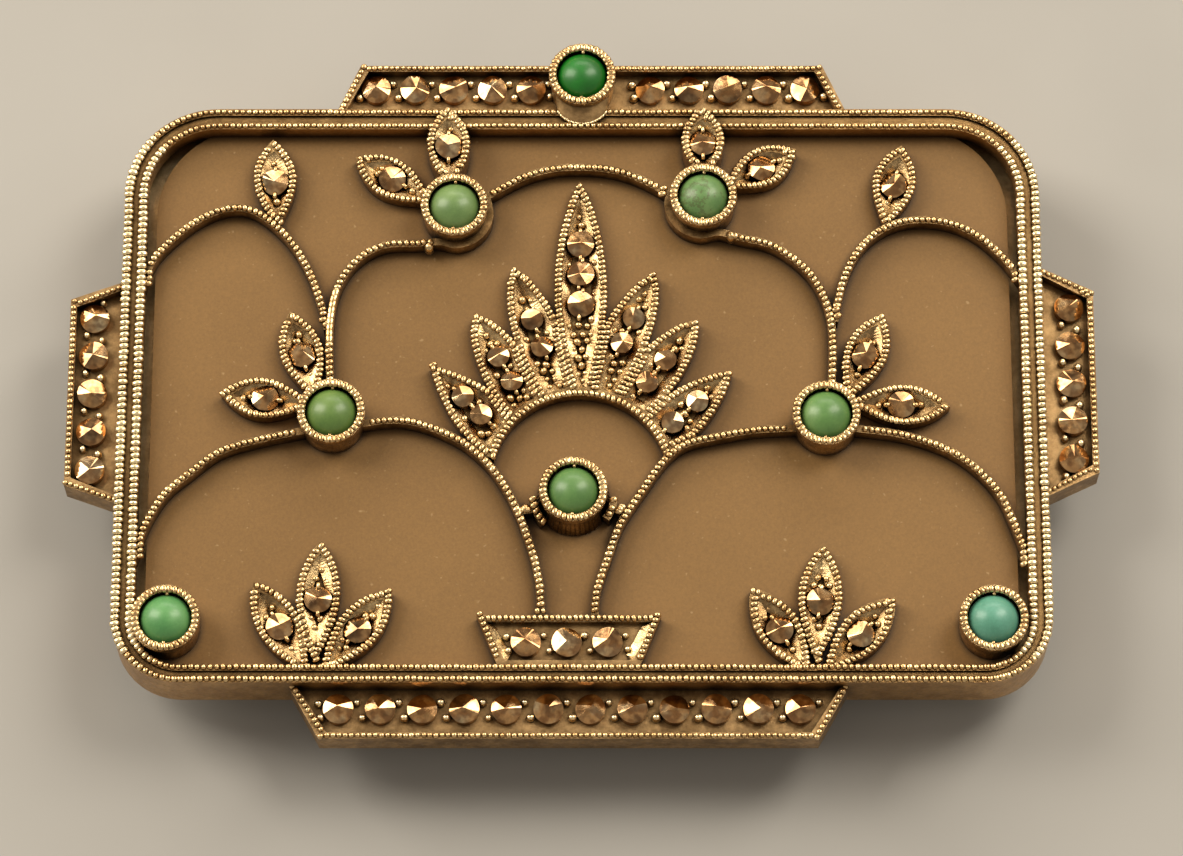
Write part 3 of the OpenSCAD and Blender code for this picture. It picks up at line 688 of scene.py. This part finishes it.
def mix(tree, factor, a, b, blend="MIX"):
    """Colour mix of two colours, sockets or plain values, by a number or a socket."""
    node = tree.nodes.new("ShaderNodeMix")
    node.data_type = "RGBA"
    node.blend_type = blend
    for name, value in (("Factor", factor), ("A", a), ("B", b)):
        target = [s for s in node.inputs if s.name == name and s.enabled][0]
        if isinstance(value, (int, float)):
            target.default_value = value
        elif isinstance(value, tuple):
            target.default_value = (*value, 1)
        else:
            tree.links.new(value, target)
    return [s for s in node.outputs if s.enabled][0]


def corners(tree, distance, low, high):
    """0 deep in corners and crevices, 1 on open surfaces, within a distance in millimetres."""
    occlusion = tree.nodes.new("ShaderNodeAmbientOcclusion")
    occlusion.samples = 6
    occlusion.inputs["Distance"].default_value = distance * MM
    return spread(tree, occlusion.outputs["AO"], low, high, 0, 1)


def spread(tree, value, low, high, to_low, to_high):
    """A value with its range from low to high stretched to another range."""
    node = tree.nodes.new("ShaderNodeMapRange")
    node.inputs["From Min"].default_value = low
    node.inputs["From Max"].default_value = high
    node.inputs["To Min"].default_value = to_low
    node.inputs["To Max"].default_value = to_high
    tree.links.new(value, node.inputs["Value"])
    return node.outputs["Result"]


def bump(tree, shader, height, strength, distance):
    """Relief in a shader's surface; distance is its depth in millimetres."""
    node = tree.nodes.new("ShaderNodeBump")
    node.inputs["Strength"].default_value = strength
    node.inputs["Distance"].default_value = distance * MM
    tree.links.new(height, node.inputs["Height"])
    tree.links.new(node.outputs["Normal"], shader.inputs["Normal"])


def silver(name, bright, tarnish, crevice, gloss, relief, stain=0.5, grain=(1, 1, 1), depth=0.02):
    """Old silver: bright where it is rubbed, tarnished by patches, dark in its corners with oxide and
    painted shade.
    crevice is (distance, low, high) for the oxide and painted shade of the corners; gloss is the range of
    roughness;
    stain is how dark the stains are, 1 for none; grain stretches the relief, so that upright walls can
    be ridged; relief is its strength, and depth its depth in millimetres."""
    material, tree, shader = new_material(name)
    patches = ramp(tree, cloud(tree, 1.1, 6.0, 0.65), [(0.38, tarnish), (0.62, bright)])
    stains = ramp(tree, cloud(tree, 4.5, 5.0, 0.7), [(0.30, grey(stain)), (0.60, grey(1.0))])
    colour = mix(tree, 1.0, patches, stains, "MULTIPLY")
    # oxide and painted shade: the dark colour is mixed in where ambient occlusion finds corners and gaps
    # between beads
    colour = mix(tree, corners(tree, *crevice), OXIDE_AND_SHADE, colour)
    tree.links.new(colour, shader.inputs["Base Color"])
    shader.inputs["Metallic"].default_value = 1.0
    tree.links.new(spread(tree, cloud(tree, 6.0), 0.3, 0.7, *gloss), shader.inputs["Roughness"])
    bump(tree, shader, cloud(tree, 12.0, 6.0, 0.7, grain), relief, depth)
    return material


def stone_material(name, dark, mid, light, veins=None):
    """A waxy opaque cabochon: cloudy colour, fine grain, and veins where there are any."""
    material, tree, shader = new_material(name)
    clouds = ramp(tree, cloud(tree, 0.8, 5.0), [(0.3, dark), (0.5, mid), (0.72, light)])
    grain = ramp(tree, cloud(tree, 9.0, 6.0, 0.7), [(0.3, grey(0.8)), (0.7, grey(1.1))])
    colour = mix(tree, 0.6, clouds, grain, "MULTIPLY")
    if veins:
        lines = ramp(tree, cloud(tree, 0.5, 8.0, 0.72),
                     [(0.45, grey(0)), (0.48, grey(0.6)), (0.51, grey(0))])
        colour = mix(tree, lines, colour, veins)
    tree.links.new(colour, shader.inputs["Base Color"])
    shader.inputs["Roughness"].default_value = 0.40
    shader.inputs["Coat Weight"].default_value = 0.15
    shader.inputs["Coat Roughness"].default_value = 0.18
    bump(tree, shader, cloud(tree, 5.0, 5.0), 0.12, 0.02)
    return material


def plaque_material():
    """Frosted crystal: satin taupe with faint clouds, fine grain and pale specks, and dirt and painted
    shade by the metal.
    """
    material, tree, shader = new_material("frosted_crystal")
    clouds = ramp(tree, cloud(tree, 0.10, 3.0),
                  [(0.3, (0.180, 0.094, 0.026)), (0.7, (0.212, 0.113, 0.033))])
    grain = ramp(tree, cloud(tree, 9.0, 5.0, 0.7), [(0.3, grey(0.80)), (0.7, grey(1.14))])
    colour = mix(tree, 0.8, clouds, grain, "MULTIPLY")
    specks = ramp(tree, cloud(tree, 3.6, 2.0, 0.4), [(0.70, grey(0)), (0.78, grey(0.55))])
    colour = mix(tree, specks, colour, PALE_SPECK)
    # dirt and painted shade: a darker colour mixed in near the metal by ambient occlusion
    colour = mix(tree, corners(tree, 0.5, 0.45, 0.85), PLAQUE_DIRT_AND_SHADE, colour)
    tree.links.new(colour, shader.inputs["Base Color"])
    shader.inputs["Roughness"].default_value = 0.55
    shader.inputs["Specular IOR Level"].default_value = 0.35
    bump(tree, shader, cloud(tree, 10.0, 5.0), 0.15, 0.01)
    return material


def marcasite_material():
    """Polished pyrite: bronze grey metal, cloudy and slightly different on every stone."""
    material, tree, shader = new_material("marcasite")
    tone = ramp(tree, cloud(tree, 0.7, 3.0),
                [(0.32, (0.32, 0.21, 0.12)), (0.5, (0.74, 0.42, 0.19)), (0.68, (0.74, 0.57, 0.36))])
    sides = ramp(tree, cloud(tree, 2.2, 1.0), [(0.42, (0.60, 0.54, 0.50)), (0.58, (1.0, 1.0, 0.95))])
    colour = mix(tree, 1.0, tone, sides, "MULTIPLY")
    smears = ramp(tree, cloud(tree, 3.0, 6.0, 0.7), [(0.35, grey(0.7)), (0.6, grey(1.0))])
    colour = mix(tree, 1.0, colour, smears, "MULTIPLY")
    # oxide and painted shade round each stone, where ambient occlusion finds its setting close
    colour = mix(tree, corners(tree, 0.25, 0.3, 0.75), OXIDE_AND_SHADE, colour)
    tree.links.new(colour, shader.inputs["Base Color"])
    shader.inputs["Metallic"].default_value = 1.0
    tree.links.new(spread(tree, cloud(tree, 1.1), 0.35, 0.65, 0.05, 0.16), shader.inputs["Roughness"])
    bump(tree, shader, cloud(tree, 8.0, 5.0), 0.15, 0.01)
    return material


def floor_material():
    """Plain pale grey with the faintest clouds."""
    material, tree, shader = new_material("pale_floor")
    tone = ramp(tree, cloud(tree, 0.05, 3.0), [(0.3, (0.34, 0.325, 0.305)), (0.7, (0.37, 0.355, 0.335))])
    tree.links.new(tone, shader.inputs["Base Color"])
    shader.inputs["Roughness"].default_value = 0.85
    return material


bead_silver = silver("bead_silver", bright=(0.95, 0.70, 0.37), tarnish=(0.66, 0.41, 0.18),
                     crevice=(0.14, 0.28, 0.85), gloss=(0.20, 0.34), relief=0.3, stain=0.55)
# A brighter copy of the bead silver: a painted highlight on the rim's side beads, also used for the grains
# and the skirt's edge beads.
rubbed_and_highlit_silver = silver("rubbed_and_highlit_silver", bright=(1.0, 0.86, 0.55), tarnish=(0.97, 0.76, 0.45),
                       crevice=(0.12, 0.18, 0.72), gloss=(0.20, 0.38), relief=0.25, stain=0.85)
cut_silver = silver("cut_silver", bright=(0.85, 0.61, 0.31), tarnish=(0.34, 0.21, 0.095),
                    crevice=(0.30, 0.20, 0.85), gloss=(0.16, 0.32), relief=0.7, stain=0.4)
frame_silver = silver("frame_silver", bright=(0.64, 0.39, 0.16), tarnish=(0.46, 0.26, 0.10),
                      crevice=(0.80, 0.45, 0.98), gloss=(0.28, 0.45), relief=0.4, stain=0.75)
leaf_silver = silver("leaf_silver", bright=(0.58, 0.38, 0.17), tarnish=(0.26, 0.15, 0.06),
                     crevice=(0.35, 0.30, 0.95), gloss=(0.26, 0.45), relief=0.5)
stem_silver = silver("stem_silver", bright=(0.58, 0.38, 0.18), tarnish=(0.25, 0.15, 0.06),
                     crevice=(0.55, 0.45, 1.00), gloss=(0.30, 0.50), relief=0.6)
collet_silver = silver("collet_silver", bright=(0.76, 0.52, 0.27), tarnish=(0.32, 0.20, 0.09),
                       crevice=(0.60, 0.20, 0.95), gloss=(0.26, 0.42), relief=1.0,
                       grain=(0.6, 0.6, 0.03), depth=0.08)
tray_silver = silver("tray_silver", bright=(0.54, 0.345, 0.16), tarnish=(0.28, 0.17, 0.074),
                     crevice=(0.60, 0.20, 0.95), gloss=(0.30, 0.50), relief=0.6, stain=0.7)
plain_silver = silver("plain_silver", bright=(0.68, 0.50, 0.28), tarnish=(0.50, 0.35, 0.18),
                      crevice=(0.60, 0.30, 0.90), gloss=(0.28, 0.45), relief=0.3, stain=0.8)
pin_metal = silver("pin_metal", bright=(0.78, 0.73, 0.62), tarnish=(0.62, 0.55, 0.42),
                   crevice=(0.40, 0.25, 0.80), gloss=(0.14, 0.26), relief=0.15)
crystal = plaque_material()
pyrite = marcasite_material()
# Each cabochon's own dark, middle and light green, and the colour of its veins if it has any.
GREENS = {
    "top": ((0.002, 0.090, 0.005), (0.003, 0.122, 0.007), (0.005, 0.162, 0.010)),
    "upper_left": ((0.098, 0.181, 0.053), (0.128, 0.222, 0.067), (0.172, 0.269, 0.089)),
    "upper_right": ((0.072, 0.168, 0.048), (0.108, 0.217, 0.066), (0.153, 0.259, 0.087),
                    (0.060, 0.042, 0.012)),
    "mid_left": ((0.074, 0.153, 0.031), (0.104, 0.191, 0.040), (0.141, 0.229, 0.055)),
    "mid_right": ((0.077, 0.184, 0.046), (0.105, 0.227, 0.060), (0.145, 0.268, 0.083)),
    "centre": ((0.064, 0.161, 0.041), (0.090, 0.203, 0.054), (0.124, 0.245, 0.072)),
    "lower_left": ((0.060, 0.211, 0.063), (0.090, 0.269, 0.084), (0.130, 0.326, 0.112)),
    "lower_right": ((0.068, 0.228, 0.152), (0.092, 0.286, 0.200), (0.122, 0.330, 0.248)),
}


# ---------- the CAD nodes that stay ----------

def finish_node(node, material, bevel):
    """Gives a CAD node its material, and slightly rounded edges if a width is given, in millimetres."""
    obj = nodes[node]
    obj.data.materials.clear()
    obj.data.materials.append(material)
    if bevel:
        rounding = obj.modifiers.new("edges", "BEVEL")
        rounding.width = bevel * MM
        rounding.segments = 2
        rounding.limit_method = "ANGLE"
        rounding.angle_limit = math.radians(40)


def dress_cad():
    """Materials and rounded edges for every CAD node that stays in the visual."""
    finish_node("frame_band", frame_silver, bevel=0.03)
    for node in ["palmette"] + LEAVES:
        finish_node(node, leaf_silver, bevel=0.02)
    for node in STEMS:
        finish_node(node, stem_silver, bevel=0.02)
    for node in GALLERIES + ["basket"]:
        finish_node(node, tray_silver, bevel=0.02)
    for name in COLLETS:
        finish_node(name + "_collet", collet_silver, bevel=0.02)
    for node in BACK:
        finish_node(node, plain_silver, bevel=0.04)
    finish_node("pin_stem", pin_metal, bevel=0)
    finish_node("plaque", crystal, bevel=0.1)


def add_milgrain():
    """Beads along every raised edge, kept off what stands over them."""
    round_collets = [(at, lip_r + 0.28 * MM) for at in collet_at.values()]
    under_collets = [(at, lip_r * 1.02) for at in collet_at.values()]
    under_skirt = [(collet_at["top"], lip_r + 0.45 * MM)]
    rim = {"wall": 0.34 * MM, "pitch": 0.3 * MM, "slant": 0.1, "width": rim_width}
    milgrain("frame_band", [rim_top], seed=1, clear=under_skirt, only=level_run, **rim)
    # The side beads take the brighter silver: a painted highlight down the rim's sides.
    milgrain("frame_band", [rim_top], seed=2, only=steep, silver=rubbed_and_highlit_silver, name="_side_milgrain",
             **rim)
    for seed, node in enumerate(GALLERIES):
        milgrain(node, [gallery_top], wall=0.30 * MM, pitch=0.28 * MM, seed=10 + seed, slant=0.2,
                 width=gallery_width)
    for seed, node in enumerate(STEMS):
        milgrain(node, [stem_top], wall=0.36 * MM, pitch=0.29 * MM, seed=20 + seed, slant=0.35,
                 width=stem_width, clear=round_collets)
    for seed, node in enumerate(LEAVES):
        levels = [leaf_top, tall_leaf_top] if node.startswith("upper") else [leaf_top]
        milgrain(node, levels, wall=0.28 * MM, pitch=0.265 * MM, seed=40 + seed, slant=0.3,
                 width=leaf_width, clear=under_collets)
    milgrain("palmette", [leaf_top], wall=0.28 * MM, pitch=0.26 * MM, seed=60, slant=0.3,
             width=leaf_width)
    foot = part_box("basket")[0].y + 0.3 * MM
    milgrain("basket", [leaf_top], wall=0.30 * MM, pitch=0.27 * MM, seed=61, slant=0.25, above=foot)
    for seed, name in enumerate(COLLETS):
        milgrain(name + "_collet", [lip_top], wall=0.36 * MM, pitch=0.28 * MM, seed=70 + seed,
                 slant=0.25, wear=0.25)


def add_linings():
    """Bright-cut slopes in every leaf, the palmette and the basket, with the leaves' claws and grains."""
    everywhere = [stone for node in LEAF_STONES for stone in stones_of(node)]
    holders = Builder()
    for node in LEAVES + ["palmette", "basket"]:
        levels = [(leaf_floor, leaf_top)]
        if node.startswith("upper"):
            levels.append((tall_leaf_floor, tall_leaf_top))
        slopes = Builder()
        for floor, top in levels:
            made = lining(node, floor, top - 0.04 * MM, everywhere, ends_only=node == "basket")
            slopes.add(made.points, made.faces)
            loops = outlines(flat(node, floor))
            held = [stone for stone in everywhere
                    if abs(stone[1] - floor) < 0.05 * MM and room(stone[0], loops)]
            if node != "basket":
                claws(held, loops, holders)
                leaf_grains(held, loops, floor, holders, 80 + len(node))
        slopes.piece(node + "_slopes", cut_silver, smooth=False)
    holders.piece("leaf_claws", bead_silver)


def add_stones():
    """The stones, and the grains, claws, ribs and solder that hold or finish them."""
    for seed, node in enumerate(GALLERIES):
        tray = outlines(flat(node, tray_floor))
        grains(node + "_stones", tray, tray_floor, node + "_grains")
        marcasites(node + "_stones", 100 + seed, GALLERY_STEEPEST)
    basket_floor = outlines(flat("basket", leaf_floor))
    grains("basket_stones", basket_floor, leaf_floor, "basket_grains", size=0.17 * MM)
    for seed, node in enumerate(LEAF_STONES):
        marcasites(node, 110 + seed, LEAF_STEEPEST)
    for name in COLLETS:
        cabochon(name)
    collet_claws()
    flutes()
    top_skirt()


# ---------- floor, lights and camera ----------

def floor():
    """A plain floor at the brooch's lowest point."""
    bpy.ops.mesh.primitive_plane_add(size=2.0, location=(0, 0, cad_box[0].z))
    plane = bpy.context.object
    plane.name = "floor"
    plane.data.materials.append(floor_material())


def softbox(name, place, size, power, colour):
    """A rectangular light aimed at the brooch."""
    data = bpy.data.lights.new(name, "AREA")
    data.shape = "RECTANGLE"
    data.size, data.size_y = size
    data.energy = power
    data.color = colour
    light = bpy.data.objects.new(name, data)
    bpy.context.scene.collection.objects.link(light)
    light.location = place
    light.rotation_euler = (-Vector(place)).to_track_quat("-Z", "Y").to_euler()


def camera():
    """Above and in front of the brooch, looking down on it at 70 degrees."""
    data = bpy.data.cameras.new("camera")
    data.lens = 148.9
    data.clip_start, data.clip_end = 0.01, 10
    view = bpy.data.objects.new("camera", data)
    bpy.context.scene.collection.objects.link(view)
    target = Vector((0.45, -2.4, 6)) * MM
    elevation, distance = math.radians(70), 230 * MM
    view.location = target + distance * Vector((0, -math.cos(elevation), math.sin(elevation)))
    view.rotation_euler = (target - view.location).to_track_quat("-Z", "Y").to_euler()
    bpy.context.scene.camera = view


def studio():
    """Three warm softboxes, left, right and far, and an even warm light all round."""
    warm = (1.0, 0.93, 0.80)
    softbox("left_softbox", (-0.25, 0.13, 0.22), size=(0.16, 0.26), power=1.20, colour=warm)
    softbox("right_softbox", (0.19, 0.15, 0.27), size=(0.14, 0.24), power=0.95, colour=warm)
    softbox("far_softbox", (0.02, 0.32, 0.17), size=(0.34, 0.08), power=0.45, colour=warm)
    light = bpy.data.worlds.new("studio")
    light.use_nodes = True
    background = light.node_tree.nodes["Background"]
    background.inputs["Color"].default_value = (1.0, 0.90, 0.76, 1)
    background.inputs["Strength"].default_value = 0.42
    bpy.context.scene.world = light
    bpy.context.scene.view_settings.view_transform = "Standard"


dress_cad()
add_milgrain()
add_linings()
add_stones()
floor()
studio()
camera()
